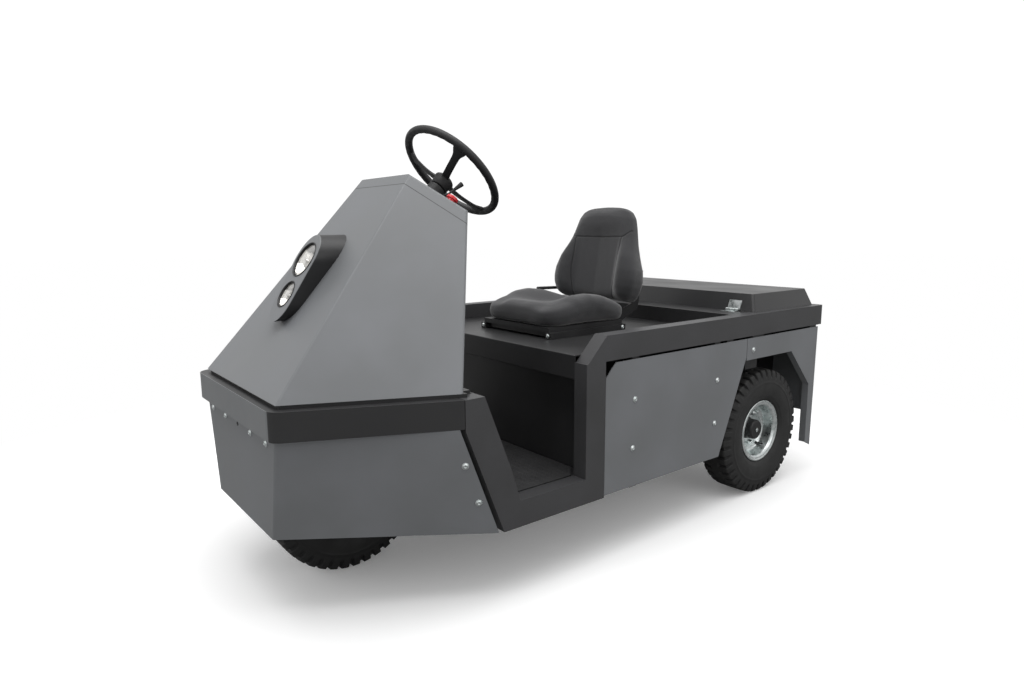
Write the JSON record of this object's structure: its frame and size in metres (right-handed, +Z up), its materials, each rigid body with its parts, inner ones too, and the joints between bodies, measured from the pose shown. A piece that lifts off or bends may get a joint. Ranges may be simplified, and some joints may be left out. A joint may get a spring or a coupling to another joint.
{
  "type": "three-wheeled electric tow tractor",
  "caption": "Three-wheeled electric tow tractor with a steered front wheel, tapering cowl, open footwell, sprung-look driver's seat, hinged rear lid and a tow jaw at the back.",
  "frame": {"origin": "on the floor under the middle of the bounding box", "axes": "+X to the driver's left, +Y to the rear, +Z up; the nose points along -Y"},
  "size_m": [1.128, 2.5, 1.4932],
  "materials": {
    "grey_powder_coat": "satin",
    "dark_powder_coat": "satin",
    "black_chassis_paint": "satin",
    "zinc_plate": "zinc plated",
    "axle_steel": "machined",
    "tyre_rubber": "matt",
    "mat_rubber": "matt",
    "black_plastic": "grained",
    "red_plastic": "gloss",
    "red_lens": "gloss",
    "clear_lens": "clear",
    "lamp_mirror": "vapour coated",
    "seat_cloth": "woven",
    "battery_case": "satin"
  },
  "bodies": {
    "chassis": {"cowl_shell": "grey_powder_coat", "dash_cap": "grey_powder_coat", "lamp_bezel": "grey_powder_coat", "front_apron": "grey_powder_coat", "side_panel_left": "grey_powder_coat", "side_panel_right": "grey_powder_coat", "fender_left": "grey_powder_coat", "fender_right": "grey_powder_coat", "rear_panel": "grey_powder_coat", "bumper_band": "dark_powder_coat", "door_frame_left": "dark_powder_coat", "door_frame_right": "dark_powder_coat", "lamp_pod": "dark_powder_coat", "rail_left": "dark_powder_coat", "rail_right": "dark_powder_coat", "rail_rear": "dark_powder_coat", "rear_deck": "dark_powder_coat", "seat_deck": "dark_powder_coat", "heel_panel": "dark_powder_coat", "kick_plate": "dark_powder_coat", "floor_plate": "dark_powder_coat", "front_deck": "dark_powder_coat", "chassis_frame": "black_chassis_paint", "rear_subframe": "black_chassis_paint", "drive_axle": "black_chassis_paint", "seat_base": "black_chassis_paint", "tow_jaw": "black_chassis_paint", "steering_column": "black_chassis_paint", "hinge_bases": "zinc_plate", "tow_pin": "axle_steel", "floor_mat": "mat_rubber", "drive_pedal": "mat_rubber", "brake_pedal": "mat_rubber", "direction_lever": "black_plastic", "recline_lever": "black_plastic", "stop_button": "red_plastic", "tail_lamps": "red_lens", "lamp_lenses": "clear_lens", "lamp_bowls": "lamp_mirror", "seat_cushion": "seat_cloth", "seat_back": "seat_cloth", "battery_pack": "battery_case"},
    "fork": {"front_fork": "black_chassis_paint"},
    "front_wheel": {"front_tyre": "tyre_rubber", "front_rim": "zinc_plate", "front_hub": "black_chassis_paint"},
    "steering_wheel": {"handwheel": "black_plastic"},
    "rear_wheel_left": {"rear_tyre_left": "tyre_rubber", "rear_rim_left": "zinc_plate", "rear_hub_left": "black_chassis_paint"},
    "rear_wheel_right": {"rear_tyre_right": "tyre_rubber", "rear_rim_right": "zinc_plate", "rear_hub_right": "black_chassis_paint"},
    "lid": {"rear_lid": "dark_powder_coat", "hinge_leaves": "zinc_plate"}
  },
  "joints": [
    {"name": "steering", "type": "hinge", "parent": "chassis", "child": "fork", "pos_m": [0, -0.896, 0.6], "axis": [0, 0, 1], "range_deg": [-75, 75]},
    {"name": "front_spin", "type": "hinge", "parent": "fork", "child": "front_wheel", "pos_m": [0, -0.896, 0.27], "axis": [1, 0, 0], "continuous": true},
    {"name": "handwheel_turn", "type": "hinge", "parent": "chassis", "child": "steering_wheel", "pos_m": [0, -0.43, 1.3426], "axis": [0, 0.7193, 0.6947], "range_deg": [-450, 450]},
    {"name": "rear_spin_left", "type": "hinge", "parent": "chassis", "child": "rear_wheel_left", "pos_m": [0.4755, 0.792, 0.27], "axis": [1, 0, 0], "continuous": true},
    {"name": "rear_spin_right", "type": "hinge", "parent": "chassis", "child": "rear_wheel_right", "pos_m": [-0.4755, 0.792, 0.27], "axis": [1, 0, 0], "continuous": true},
    {"name": "lid_hinge", "type": "hinge", "parent": "chassis", "child": "lid", "pos_m": [0, 0.696, 0.7985], "axis": [1, 0, 0], "range_deg": [0, 95]}
  ],
  "couplings": [
    {"joint": "handwheel_turn", "follows": "steering", "ratio": 6}
  ]
}
